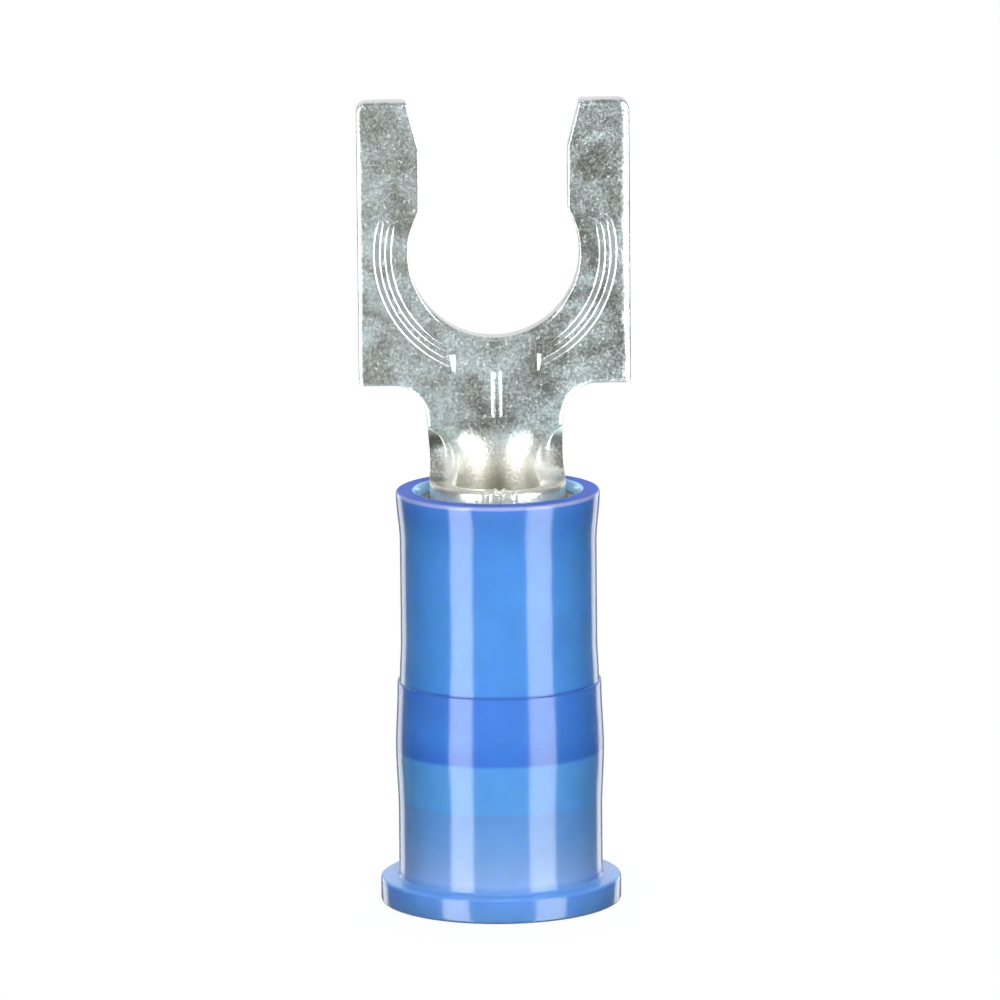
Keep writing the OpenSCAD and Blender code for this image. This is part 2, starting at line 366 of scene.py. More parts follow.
def makeTinPlate():
    plate = tinPlate
    material, tree, shader, place = startMaterial("tinPlate")
    mottle = mottleOutputs(tree, place, plate["scales"])
    sideways, depthwise, upright = splitAxes(tree, place)
    toRight = remap(tree, sideways, *plate["leftToRight"])
    sides = zip(plate["shadeLeft"], plate["shadeRight"])
    limits = [remap(tree, toRight, 0.0, 1.0, left, right) for left, right in sides]
    level = remap(tree, mottle["Shade"], 0.0, 1.0, *limits, clamp=False)
    toned = addRamp(tree, plate["shades"], level)
    tinted = mixColour(tree, 1.0, toned, addRamp(tree, plate["tints"], mottle["Tint"]), "MULTIPLY")
    flecked = mixColour(tree, mottle["Flecks"], tinted, plate["fleck"])

    flat = remap(tree, upright, *plate["flatHeights"])

    def depthMask(key):
        near, fullNear, fullFar, far = (frontY + depth for depth in plate[key])
        deeper = both(tree, remap(tree, depthwise, near, fullNear), flat)
        return both(tree, deeper, remap(tree, depthwise, far, fullFar))

    coined = mixTone(tree, flecked, depthMask("coinedDepths"), *plate["coined"])
    sheared = mixTone(tree, coined, depthMask("shearedDepths"), *plate["sheared"])

    # Inside the barrel the plate is duller and drawn into upright streaks; it is painted pale and warm as a
    # painted highlight for light reflected inside, with painted shade at the back
    front, back = plate["frontToBack"]
    bore = remap(tree, axisDistance(tree, place), *plate["boreRadius"])
    hollow = calc(tree, "MAXIMUM", remap(tree, depthwise, front, back), bore)
    inside = both(tree, remap(tree, upright, *plate["boreHeights"]), hollow)
    paintedBoreLight = mixTone(tree, sheared, inside, *plate["bore"])
    aside = calc(tree, "ABSOLUTE", calc(tree, "SUBTRACT", sideways, plate["stainX"]))
    centred = remap(tree, aside, plate["stainHalfWidth"], 0.0)
    # painted shade at the back of the bore
    stain = both(tree, both(tree, centred, remap(tree, upright, *plate["stainHeights"])), inside)
    withPaintedBoreShade = mixTone(tree, paintedBoreLight, stain, *plate["stain"])

    # Dark blotches on the wings, just below the bend
    outer = remap(tree, aside, *plate["wingReach"])
    blotches = both(tree, outer, remap(tree, mottle["Shade"], *plate["wingShades"]))
    wingBlotchMask = both(tree, blotches, remap(tree, upright, *plate["wingHeights"]))
    blotched = mixTone(tree, withPaintedBoreShade, wingBlotchMask, *plate["wing"])

    # Outside, rolling has left the barrel smoother and more even; its pale tone and lower metallic are a
    # painted sheen
    low = remap(tree, upright, *plate["rolledHeights"])
    rolled = both(tree, low, remap(tree, depthwise, back, front))
    rough = remap(tree, mottle["Shade"], 0.0, 1.0, *plate["roughness"])
    duller = calc(tree, "MULTIPLY_ADD", inside, plate["boreRoughness"], rough)
    streaks = scuffMask(tree, place, plate["boreStreaks"], inside)
    relief = calc(tree, "MULTIPLY_ADD", streaks, plate["streakRelief"], mottle["Height"])
    feed(tree, shader, {
        "Base Color": mixTone(tree, blotched, rolled, *plate["rolled"]),
        "Roughness": calc(tree, "MULTIPLY_ADD", rolled, plate["rolledRoughness"], duller),
        "Metallic": remap(tree, rolled, 0.0, 1.0, 1.0, plate["rolledMetallic"]),
        "Normal": bumpNormal(tree, relief, *plate["bump"]),
    })
    return material


# Finish of the grip sleeve: duller plate with the brass showing through, its dark shades partly painted shade
# for the gap inside the insulator's rim

dullPlate = {
    "shades": [
        (0.0, (0.09, 0.075, 0.06)),
        (0.5, (0.18, 0.155, 0.13)),
        (1.0, (0.36, 0.33, 0.29)),
    ],
    "roughness": (0.42, 0.3),
    "bump": (0.35, 0.01),
}


def makeDullPlate():
    plate = dullPlate
    material, tree, shader, place = startMaterial("dullPlate")
    mottle = mottleOutputs(tree, place, {})
    feed(tree, shader, {
        "Base Color": addRamp(tree, plate["shades"], mottle["Shade"]),
        "Roughness": remap(tree, mottle["Shade"], 0.0, 1.0, *plate["roughness"]),
        "Metallic": 1.0,
        "Normal": bumpNormal(tree, mottle["Height"], *plate["bump"]),
    })
    return material


# Finish of the insulator: blue nylon, whose tone at each height is painted light and shade for what lies
# behind the wall: paler where light comes through the hollow pocket, a painted bright band where the bore
# narrows, and a darker band above the sleeve's lower end. The same ramp paints a highlight on the foot's
# fillet and shade on the step's ledge, with a pale line at the rim's edge and a darker rim top

blueNylon = {
    "tones": [
        (0.0, (0.132, 0.35, 0.86)),
        (0.6, (0.138, 0.355, 0.80)),
        (0.75, (0.117, 0.309, 0.717)),
        # painted highlight on the foot's fillet
        (1.0, (0.282, 0.47, 0.84)),
        (2.2, (0.172, 0.405, 0.83)),
        (3.08, (0.139, 0.371, 0.84)),
        (3.2, (0.123, 0.42, 0.943)),
        (4.52, (0.118, 0.406, 0.933)),
        (4.62, (0.053, 0.217, 0.769)),
        (5.4, (0.067, 0.271, 0.84)),
        (6.5, (0.075, 0.264, 0.83)),
        # painted shade on the step's ledge
        (6.56, (0.072, 0.254, 0.81)),
        (6.59, (0.035, 0.125, 0.461)),
        (6.62, (0.035, 0.125, 0.461)),
        (6.66, (0.088, 0.331, 0.892)),
        (6.7, (0.092, 0.348, 0.912)),
        (9.5, (0.094, 0.353, 0.912)),
        (11.0, (0.085, 0.326, 0.876)),
        (11.8, (0.076, 0.28, 0.789)),
        (12.1, (0.086, 0.282, 0.789)),
        (12.16, (0.1, 0.288, 0.779)),
        (12.2, (0.42, 0.499, 0.799)),
        (12.25, (0.34, 0.422, 0.738)),
        (12.29, (0.058, 0.114, 0.461)),
    ],
    "inner": (0.33, 0.60, 0.88, 1.0),
    "innerRadius": (2.53, 2.49),
    "clouds": {"Scale": 0.7, "Detail": 3.0, "Roughness": 0.55},
    "cloudRange": (0.3, 0.7),
    "cloudDepth": 0.06,
    "roughness": 0.13,
    "scuffedRoughness": 0.36,
    # How the marks are drawn out, and how strong they are
    "scratches": ((0.7, 0.7, 4.5), 1.0),
    "scuffs": ((1.6, 1.6, 0.8), 0.4),
    "scratchLow": (4.6, 4.9),
    "scratchHigh": (6.55, 6.5),
    "rimRoughness": 0.75,
    "rimDepths": (0.06, 0.01),
    "bump": (0.25, 0.006),
    "refraction": 1.53,
    "subsurface": 0.6,
    "scatter": (0.3, 0.35, 1.5),
    "scatterDepth": 0.5,
}


def makeBlueNylon():
    nylon = blueNylon
    material, tree, shader, place = startMaterial("blueNylon")
    upright = splitAxes(tree, place)["Z"]
    top = tubeHigh[2]
    stops = [(z / top, tone) for z, tone in nylon["tones"]]
    tones = addRamp(tree, stops, remap(tree, upright, 0.0, top))
    clouds = addNode(tree, "ShaderNodeTexNoise", {"Vector": place, **nylon["clouds"]}).outputs["Fac"]
    depth = nylon["cloudDepth"]
    clouded = scaleVector(tree, tones, remap(tree, clouds, *nylon["cloudRange"], 1 - depth, 1 + depth))

    # Light comes through the wall from outside, so its inner face is paler
    within = remap(tree, axisDistance(tree, place), *nylon["innerRadius"])

    # Slanted tool scratches on the band over the sleeve's lower end, and light scuffs elsewhere
    low, high = (remap(tree, upright, *nylon[key]) for key in ("scratchLow", "scratchHigh"))
    scratches, scuffs = (scuffMask(tree, place, *nylon[key]) for key in ("scratches", "scuffs"))
    banded = both(tree, both(tree, low, high), scratches)
    marks = calc(tree, "ADD", banded, scuffs, use_clamp=True)
    rough = remap(tree, marks, 0.0, 1.0, nylon["roughness"], nylon["scuffedRoughness"])
    rimFoot, rimTop = (top - drop for drop in nylon["rimDepths"])
    dull = remap(tree, upright, rimFoot, rimTop, 0.0, nylon["rimRoughness"])
    relief = calc(tree, "MULTIPLY_ADD", marks, -1.0, clouds)
    feed(tree, shader, {
        "Base Color": mixColour(tree, within, clouded, nylon["inner"]),
        "Roughness": calc(tree, "MAXIMUM", rough, dull),
        "Normal": bumpNormal(tree, relief, *nylon["bump"]),
        "IOR": nylon["refraction"],
        "Subsurface Weight": nylon["subsurface"],
        "Subsurface Radius": nylon["scatter"],
        "Subsurface Scale": nylon["scatterDepth"] * metre,
    })
    return material


tinMaterial = makeTinPlate()
sleeveMaterial = makeDullPlate()
nylonMaterial = makeBlueNylon()
print("finishes made")


# Turned pieces: one tree sweeps a closed profile round the barrel's axis

def turnedTree():
    tree, entry, result = startTree(
        "turnedWall",
        "GeometryNodeTree",
        {
            "Profile": "Geometry",
            "Segments": 192,
            "Path Radius": 2.0,
            "Waviness": 0.0,
            "Seed": 3.0,
            "Finish": "Material",
        },
    )
    outline = addNode(tree, "GeometryNodeMeshToCurve", {"Mesh": entry["Profile"]})
    # The profile's radius and height become the sweep's normal and binormal
    position = addNode(tree, "GeometryNodeInputPosition").outputs["Position"]
    radius, depth, height = splitAxes(tree, position)
    outward = calc(tree, "SUBTRACT", radius, entry["Path Radius"])
    section = joinAxes(tree, X=outward, Y=calc(tree, "MULTIPLY", height, -1.0))
    moves = {"Geometry": outline.outputs["Curve"], "Position": section}
    laid = addNode(tree, "GeometryNodeSetPosition", moves)
    sizes = {"Resolution": entry["Segments"], "Radius": entry["Path Radius"]}
    path = addNode(tree, "GeometryNodeCurvePrimitiveCircle", sizes, mode="RADIUS")
    upright = addNode(tree, "GeometryNodeSetCurveNormal", {"Curve": path.outputs["Curve"]}, mode="Z_UP")
    curves = {"Curve": upright.outputs["Curve"], "Profile Curve": laid.outputs["Geometry"]}
    sweep = addNode(tree, "GeometryNodeCurveToMesh", curves)
    # A hair of waviness, as a moulded or drawn wall has
    waves = {"W": entry["Seed"], "Scale": 0.9, "Detail": 1.0}
    ripple = addNode(tree, "ShaderNodeTexNoise", waves, noise_dimensions="4D")
    amount = both(tree, calc(tree, "SUBTRACT", ripple.outputs["Fac"], 0.5), entry["Waviness"])
    offset = scaleVector(tree, addNode(tree, "GeometryNodeInputNormal").outputs["Normal"], amount)
    waved = addNode(tree, "GeometryNodeSetPosition", {"Geometry": sweep.outputs["Mesh"], "Offset": offset})
    return finishTree(tree, waved.outputs["Geometry"], result, entry["Finish"])


turnedWall = turnedTree()


def roundedProfile(corners, steps=6):
    # Each corner is radius, height and rounding: a rounded one becomes an arc tangent to both sides
    points = []
    for index, (r, z, rounding) in enumerate(corners):
        here = Vector((r, z))
        if not rounding:
            points.append((r, z))
            continue
        before = (Vector(corners[index - 1][:2]) - here).normalized()
        after = (Vector(corners[(index + 1) % len(corners)][:2]) - here).normalized()
        half = before.angle(after) / 2
        reach = rounding / math.tan(half)
        centre = here + (before + after).normalized() * rounding / math.sin(half)
        first = here + before * reach - centre
        last = here + after * reach - centre
        turn = first.angle_signed(last)
        for step in range(steps + 1):
            spot = first.copy()
            spot.rotate(Matrix.Rotation(-turn * step / steps, 2))
            points.append(tuple(centre + spot))
    return points


def turnPiece(name, corners, settings, material):
    profile = bpy.data.meshes.new(name + "Profile")
    points = roundedProfile(corners)
    edges = [(index, (index + 1) % len(points)) for index in range(len(points))]
    profile.from_pydata([(r, 0, z) for r, z in points], edges, [])
    values = {"Segments": settings["segments"], "Waviness": settings["waviness"], "Finish": material}
    mesh = runTree(name + "Build", profile, turnedWall, values)
    return finishMesh(mesh, settings["sharpAngle"])


def finishMesh(mesh, sharpAngle):
    shaped = bmesh.new()
    shaped.from_mesh(mesh)
    writeMesh(shaped, mesh)
    mesh.shade_smooth()
    mesh.set_sharp_from_angle(angle=math.radians(sharpAngle))
    mesh.transform(Matrix.Scale(metre, 4))
    return mesh


def placePiece(name, mesh, node):
    mesh.name = name
    piece = linkObject(name, mesh)
    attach(piece, "root")
    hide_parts(node)


insulatorTube = {
    "pressGap": 0.02,
    "waistWall": 0.55,
    "skirtWall": 0.665,
    "rimFlare": 0.11,
    "rimFlareLength": 1.6,
    "rimOpening": 0.14,
    "stepFlare": 0.045,
    "stepFlareLength": 1.3,
    "bulge": 0.065,
    "bulgeLength": 1.9,
    "funnelLength": 1.45,
    "mouthOpening": 0.35,
    "mouthLength": 0.6,
    "flangeThickness": 0.75,
    "edgeRound": 0.1,
    "footFillet": 0.09,
    "stepRound": 0.025,
    "pocketRound": 0.2,
    # How far the curved walls stay from the foot, the step and the rim, and their rows
    "footClear": 0.5,
    "stepClear": 0.12,
    "rimClear": 0.3,
    "skirtRows": 22,
    "waistRows": 26,
    "segments": 224,
    "waviness": 0.008,
    "sharpAngle": 40,
}


sleeveOuter, sleeveBore = sleeveHigh[0], barrelRadius + insulatorTube["pressGap"]


def insulatorCorners():
    tube = insulatorTube
    rim, step, sleeveEnd = tubeHigh[2], forkLow[2], sleeveLow[2]
    holder = sleeveOuter + tube["pressGap"]
    flange, thick, edge = tubeHigh[0], tube["flangeThickness"], tube["edgeRound"]

    def skirt(z):
        return holder + tube["skirtWall"] + tube["bulge"] * ease(1 - abs(z - sleeveEnd) / tube["bulgeLength"])

    def waist(z):
        upper = tube["rimFlare"] * ease(1 - (rim - z) / tube["rimFlareLength"])
        lower = tube["stepFlare"] * ease(1 - (z - step) / tube["stepFlareLength"])
        return holder + tube["waistWall"] + upper + lower

    def wall(radius, start, end, count):
        heights = [start + (end - start) * index / count for index in range(count + 1)]
        return [(radius(z), z, 0) for z in heights]

    return [
        (flange, 0, edge),
        (flange, thick, edge),
        (skirt(thick), thick, tube["footFillet"]),
        *wall(skirt, thick + tube["footClear"], step - tube["stepClear"], tube["skirtRows"]),
        (skirt(step), step, tube["stepRound"]),
        (waist(step), step, tube["stepRound"]),
        *wall(waist, step + tube["stepClear"], rim - tube["rimClear"], tube["waistRows"]),
        (waist(rim), rim, edge),
        (holder + tube["rimOpening"], rim, edge / 2),
        (holder, sleeveHigh[2], 0),
        (holder, sleeveEnd, 0),
        (sleeveBore, sleeveEnd, 0),
        (pocketRadius, sleeveEnd - tube["funnelLength"], tube["pocketRound"]),
        (pocketRadius, tube["mouthLength"], tube["pocketRound"]),
        (pocketRadius + tube["mouthOpening"], 0, edge / 2),
    ]


insulatorMesh = turnPiece("insulator", insulatorCorners(), insulatorTube, nylonMaterial)
print("insulator turned:", len(insulatorMesh.polygons), "faces")

gripSleeve = {"edgeRound": 0.06, "segments": 160, "waviness": 0.012, "sharpAngle": 40}
sleeveCorners = [
    (radius, z, gripSleeve["edgeRound"])
    for radius, z in (
        (sleeveBore, sleeveLow[2]),
        (sleeveOuter, sleeveLow[2]),
        (sleeveOuter, sleeveHigh[2]),
        (sleeveBore, sleeveHigh[2]),
    )
]
sleeveMesh = turnPiece("gripSleeve", sleeveCorners, gripSleeve, sleeveMaterial)
print("grip sleeve turned:", len(sleeveMesh.polygons), "faces")


# Stamped fork: a flat blank is cut, coined, then its lower part is curled into the barrel

forkBlank = {
    "throatGap": 4.38,
    "tipGap": 5.1,
    "leadIn": 1.4,
    "plateFoot": 15.2,
    "bend": 14.15,
    "mouth": 12.55,
    "throatRound": 0.4,
    "tipRound": 0.33,
    "tipInnerRound": 0.15,
    "footRound": 0.15,
    "shankFillet": 1.03,
    "wingRound": 0.35,
    "notchWidth": 0.12,
    "notchDepth": 0.1,
    "seamGap": 0.002,
    # Width and depth of the rolled edge on the stud's side, outside, down the wings and round the mouth
    "rolls": [(0.05, 0.024), (0.235, 0.079), (0.35, 0.4), (0.4, 0.5)],
    "rollWander": 0.25,
    "wanderScale": 0.9,
    # The die's wear makes the roll wider towards the right
    "rollLean": 0.28,
    # Which roll the plate's lower edge has, between that of the stud's side and that of the outside
    "footRoll": 0.4,
    # The seat's lowest stretch has a plain bevel, which fades out up its sides
    "seatBevel": 0.1,
    "seatBevelDrops": (1.3, 2.3),
    # How far the roll has fallen at each tenth of its width: gently at first, and steeply at the end
    "rollProfile": [0.0, 0.007, 0.03, 0.068, 0.121, 0.19, 0.275, 0.382, 0.506, 0.648, 1.0],
    "backRounds": (0.05, 0.13),
    "curlPower": 0.58,
    "curlStart": 0.12,
    "curlDelay": 0.1,
    "curlRows": 30,
    "columnWidth": 0.1,
    "seamColumnWidth": 0.035,
    "seamReach": 0.5,
    "serrations": 3,
    "serrationWidth": 0.35,
    "serrationDepth": 0.08,
    "serrationRun": 0.02,
    # Shares of the thickness beyond which a point belongs to the bore's face or to the outer face
    "boreFace": 0.9,
    "outerFace": 0.3,
    "seamRipple": 0.05,
    "rippleStart": 1.7,
    "rippleFade": 0.2,
    "rippleScale": (26, 0.8),
    "sharpAngle": 17,
}


def blankOutline():
    # Right half from the barrel's wire end round the prong into the seat, then its mirror image.
    # The third value picks the edge's roll: 0 on the stud's side, 1 outside, 2 on the wings, 3 at the mouth.
    blank = forkBlank
    half, neck, tip = forkHigh[0], barrelRadius, forkHigh[2]
    foot, mouth, fillet = blank["plateFoot"], blank["mouth"], blank["shankFillet"]
    tipRound, inner, footRound, wing = (
        blank[key] for key in ("tipRound", "tipInnerRound", "footRound", "wingRound")
    )
    throat, rise = blank["throatGap"] / 2, (blank["tipGap"] - blank["throatGap"]) / 2
    slope = math.atan(rise / blank["leadIn"])
    innerZ = tip - inner
    innerX = throat + rise * (innerZ - tip + blank["leadIn"]) / blank["leadIn"] + inner / math.cos(slope)
    reach = seatRadius + blank["throatRound"]
    roundX = throat + blank["throatRound"]
    roundZ = math.sqrt(reach * reach - roundX * roundX)
    meet = math.degrees(math.atan2(roundZ, roundX))
    seam, narrow = 2 * neck - blank["seamGap"], blank["footRoll"]
    tube = [
        (0, forkLow[2], 0),
        (seam, forkLow[2], 0),
        (seam, mouth - 1.2, 0),
        (seam, mouth - blank["notchDepth"], 0),
        (seam - blank["notchWidth"], mouth, 1),
    ]
    tube += [(neck + wing + (seam - neck - wing - 0.2) * (1 - step / 6), mouth, 3) for step in range(6)]
    corner = arcPoints((neck + wing, mouth + wing), wing, 270, 180, 6)
    tube += [(x, z, 3 - index / 6) for index, (x, z) in enumerate(corner)]
    wingTop = foot - fillet
    for step in range(1, 8):
        share = step / 8
        tube.append((neck, mouth + wing + (wingTop - mouth - wing) * share, 2 - (2 - narrow) * ease(share)))
    tube += [(x, z, narrow) for x, z in arcPoints((neck + fillet, foot - fillet), fillet, 180, 90, 16)]
    corner = arcPoints((half - footRound, foot + footRound), footRound, -90, 0, 8)
    tube += [(x, z, narrow + (1 - narrow) * index / 8) for index, (x, z) in enumerate(corner)]
    outside = [
        *[(half, foot + (tip - foot) * step / 24) for step in range(2, 23)],
        *arcPoints((half - tipRound, tip - tipRound), tipRound, 0, 90, 10),
    ]
    corner = arcPoints((innerX, innerZ), inner, 90, 180 - math.degrees(slope), 8)
    inside = [
        (throat, tip - blank["leadIn"]),
        *arcPoints((roundX, seatHeight + roundZ), blank["throatRound"], 180, 180 + meet, 8),
        *arcPoints((0, seatHeight), seatRadius, meet, -90, 48)[1:],
    ]
    right = tube + [(x, z, 1) for x, z in outside]
    right += [(x, z, 1 - ease(index / (len(corner) - 1))) for index, (x, z) in enumerate(corner)]
    right += [(x, z, 0) for x, z in inside]
    left = [(-x, z, share) for x, z, share in reversed(right[1:-1])]
    return right + left


def insetDirections(outline):
    # At each corner, the way that moves both of its sides inwards by the same amount
    ways = []
    count = len(outline)
    for index in range(count):
        before, here, after = (Vector(outline[(index + step) % count][:2]) for step in (-1, 0, 1))
        first, second = (here - before).normalized(), (after - here).normalized()
        way = Vector((-first.y - second.y, first.x + second.x)).normalized()
        ways.append(way / max(0.5, way.dot(Vector((-second.y, second.x)))))
    return ways


def edgeRings(outline):
    # Rings from the front face over the wide die roll, down the wall and round the back edge
    blank = forkBlank
    ways = insetDirections(outline)
    widths, depths, bevels = [], [], []
    fade, full = blank["seatBevelDrops"]
    for x, z, kind in outline:
        scale = blank["wanderScale"]
        wander = 1 + blank["rollWander"] * noise.noise((x * scale, z * scale, 7.0))
        wander *= 1 + blank["rollLean"] * max(-1, min(1, x / forkHigh[0]))
        lower = min(2, int(kind))
        (width, depth), (nextWidth, nextDepth) = blank["rolls"][lower:lower + 2]
        bevel = ease((seatHeight - fade - z) / (full - fade)) if kind == 0 and z > blank["plateFoot"] else 0
        width = (width + (nextWidth - width) * (kind - lower)) * wander
        depth = (depth + (nextDepth - depth) * (kind - lower)) * wander
        widths.append(width + (blank["seatBevel"] - width) * bevel)
        depths.append(depth + (blank["seatBevel"] - depth) * bevel)
        bevels.append(bevel)
    rings = []

    def addRing(insets, falls):
        rings.append([
            (x + way.x * inset, frontY + fall, z + way.y * inset)
            for (x, z, kind), way, inset, fall in zip(outline, ways, insets, falls)
        ])

    # The die roll is shallow, and the wings and the mouth are rounded by a quarter circle
    steps = len(blank["rollProfile"]) - 1
    rounded = [min(1, max(0, kind - 1)) for x, z, kind in outline]
    for step, down in enumerate(blank["rollProfile"]):
        along, turn = step / steps, math.pi / 2 * step / steps
        reaches = [along + (math.sin(turn) - along) * share for share in rounded]
        drops = [down + (1 - math.cos(turn) - down) * share for share in rounded]
        drops = [drop + (along - drop) * bevel for drop, bevel in zip(drops, bevels)]
        addRing(
            [width * (1 - reach) for width, reach in zip(widths, reaches)],
            [depth * drop for depth, drop in zip(depths, drops)],
        )
    flat, formed = blank["backRounds"]
    rounds = [flat + (formed - flat) * share for share in rounded]
    for step in range(5):
        angle = math.pi / 2 * step / 4
        insets = [radius * (1 - math.cos(angle)) for radius in rounds]
        addRing(insets, [sheetThickness - radius * (1 - math.sin(angle)) for radius in rounds])
    return rings


def stampBlank():
    blank = bmesh.new()
    outline = blankOutline()
    rings = [[blank.verts.new(spot) for spot in ring] for ring in edgeRings(outline)]
    blank.faces.new(rings[0])
    blank.faces.new(list(reversed(rings[-1])))
    for ring, following in zip(rings, rings[1:]):
        for index in range(len(outline)):
            after = (index + 1) % len(outline)
            blank.faces.new((ring[after], ring[index], following[index], following[after]))
    return writeMesh(blank, bpy.data.meshes.new("forkBlank"))


# Coined grooves beside the seat: a tree sweeps the punch's section along each arc

coinedGrooves = {
    "land": 0.6,
    "width": 0.215,
    "ridge": 0.115,
    "depth": 0.0225,
    "wallRun": 0.042,
    "centreX": 0.12,
    "rightShift": 0.07,
    "startAngle": 16,
    "endAngles": (64, 68),
    "endRamps": (0.3, 0.02),
    "startRamp": 0.05,
    "rampX": (1.17, 1.36),
    "rampZ": (15.6, 16.1),
    "rampDepth": 0.085,
    "rampTaper": 0.5,
}


def grooveTree():
    tree, entry, result = startTree(
        "coinedGroove",
        "GeometryNodeTree",
        {
            "Geometry": "Geometry",
            "Radius": 3.0,
            "Start Angle": 0.0,
            "Sweep Angle": 1.0,
            "Outer Width": 0.2,
            "Floor Width": 0.1,
            "Depth": 0.08,
            "Lower Ramp": 0.05,
            "Upper Ramp": 0.1,
            "Place": "Vector",
        },
    )
    sizes = {label: entry[label] for label in ("Radius", "Start Angle", "Sweep Angle")}
    arc = addNode(tree, "GeometryNodeCurveArc", {"Resolution": 96, **sizes}, mode="RADIUS")
    # The floor rises to the surface over a short ramp at either end
    along = addNode(tree, "GeometryNodeSplineParameter").outputs["Factor"]
    lower = remap(tree, along, 0.0, entry["Lower Ramp"], 1.0, 0.0)
    upper = remap(tree, calc(tree, "SUBTRACT", 1.0, along), 0.0, entry["Upper Ramp"], 1.0, 0.0)
    rise = joinAxes(tree, Z=both(tree, calc(tree, "MAXIMUM", lower, upper), entry["Depth"]))
    ramped = addNode(tree, "GeometryNodeSetPosition", {"Geometry": arc.outputs["Curve"], "Offset": rise})
    upright = addNode(tree, "GeometryNodeSetCurveNormal", {"Curve": ramped.outputs["Geometry"]}, mode="Z_UP")
    sizes = {
        "Height": calc(tree, "MULTIPLY", entry["Depth"], 2.0),
        "Bottom Width": entry["Outer Width"],
        "Top Width": entry["Floor Width"],
        "Offset": 0.0,
    }
    punch = addNode(tree, "GeometryNodeCurvePrimitiveQuadrilateral", sizes, mode="TRAPEZOID")
    curves = {"Curve": upright.outputs["Curve"], "Profile Curve": punch.outputs["Curve"], "Fill Caps": True}
    sweep = addNode(tree, "GeometryNodeCurveToMesh", curves)
    turn = {"Translation": entry["Place"], "Rotation": (math.pi / 2, 0.0, 0.0)}
    stood = addNode(tree, "GeometryNodeTransform", {"Geometry": sweep.outputs["Mesh"], **turn})
    return finishTree(tree, stood.outputs["Geometry"], result)


def groovePunches():
    groove = coinedGrooves
    tree = grooveTree()
    punches = bmesh.new()
    pitch = groove["width"] + groove["ridge"]
    for index, (endAngle, endRamp) in enumerate(zip(groove["endAngles"], groove["endRamps"])):
        values = {
            "Radius": seatRadius + groove["land"] + groove["width"] / 2 + pitch * index,
            "Start Angle": math.radians(-endAngle),
            "Sweep Angle": math.radians(endAngle + groove["startAngle"]),
            "Outer Width": groove["width"] + 2 * groove["wallRun"],
            "Floor Width": groove["width"] - 2 * groove["wallRun"],
            "Depth": groove["depth"],
            "Lower Ramp": endRamp,
            "Upper Ramp": groove["startRamp"],
            "Place": (-groove["centreX"], frontY, seatHeight),
        }
        mesh = runTree("groovePunch", bpy.data.meshes.new("groovePunch"), tree, values)
        mesh.transform(Matrix.Translation((groove["rightShift"], 0, 0)))
        punches.from_mesh(mesh)
        mesh.transform(Matrix.Scale(-1, 4, (1, 0, 0)) @ Matrix.Translation((-groove["rightShift"], 0, 0)))
        punches.from_mesh(mesh)
    bmesh.ops.remove_doubles(punches, verts=punches.verts, dist=1e-5)
    bmesh.ops.recalc_face_normals(punches, faces=punches.faces)
    return punches


# Straight stiffening groove down the middle of the tongue: one stroke of a V-shaped punch

middleGroove = {
    "top": (0.037, 15.5),
    "bottom": (0.037, 14.3),
    "width": 0.38,
    "wallDepth": 0.03,
    "wallRun": 0.03,
    "slope": 0.46,
    "endReach": 0.8,
}
punchLift = 0.05  # how far the punches stand out of the sheet


def middlePunch(punches):
    # A round-ended outline with steep sides, and a wedge whose point runs along the stroke
    groove = middleGroove
    half, wall = groove["width"] / 2, groove["wallDepth"]
    floorHalf = half - groove["wallRun"]
    ends = ((groove["top"], 0), (groove["bottom"], 180))
    rims = []
    for depth, reach in ((-punchLift, half), (wall, floorHalf)):
        rim = []
        for place, turn in ends:
            for side, forward in arcPoints((0, 0), reach, turn, turn + 180, 8):
                spot = (place[0] + side, frontY + depth, place[1] + forward * groove["endReach"])
                rim.append(punches.verts.new(spot))
        rims.append(rim)
    deepest = frontY + wall + floorHalf * groove["slope"]
    points = [punches.verts.new((place[0], deepest, place[1])) for place, turn in ends]
    outer, inner = rims
    for index in range(len(outer)):
        after = (index + 1) % len(outer)
        punches.faces.new((outer[index], outer[after], inner[after], inner[index]))
    arcs = inner[:len(inner) // 2], inner[len(inner) // 2:]
    for arc, point in zip(arcs, points):
        for first, second in zip(arc, arc[1:]):
            punches.faces.new((first, second, point))
    punches.faces.new((arcs[0][-1], arcs[1][0], points[1], points[0]))
    punches.faces.new((arcs[1][-1], arcs[0][0], points[0], points[1]))
    punches.faces.new(list(reversed(outer)))


def cutAway(mesh, punches, name):
    tool = linkObject(name, writeMesh(punches, bpy.data.meshes.new(name)))
    settings = {"operation": "DIFFERENCE", "solver": "EXACT", "object": tool}
    result = runModifier(name + "Sheet", mesh, "BOOLEAN", settings)
    bpy.data.objects.remove(tool)
    return result


def endRampPunch(punches, side):
    # The grooves run out over one steep ramp, cut across both and narrower towards its lower end
    shift = coinedGrooves["rightShift"] if side > 0 else 0
    shallow, deep = (side * x + shift for x in coinedGrooves["rampX"])
    low, high = coinedGrooves["rampZ"]
    depth = coinedGrooves["rampDepth"]
    slope = depth / (deep - shallow)
    ends = []
    for z, share in ((low, coinedGrooves["rampTaper"]), (high, 1)):
        far = shallow + (deep - shallow) * share
        clear = shallow - punchLift / abs(slope) * side
        corners = [(clear, -punchLift), (far, depth * share), (far, -punchLift)]
        ends.append([punches.verts.new((x, frontY + y, z)) for x, y in corners])
        punches.faces.new(ends[-1])
    for index in range(3):
        after = (index + 1) % 3
        punches.faces.new((ends[0][index], ends[0][after], ends[1][after], ends[1][index]))


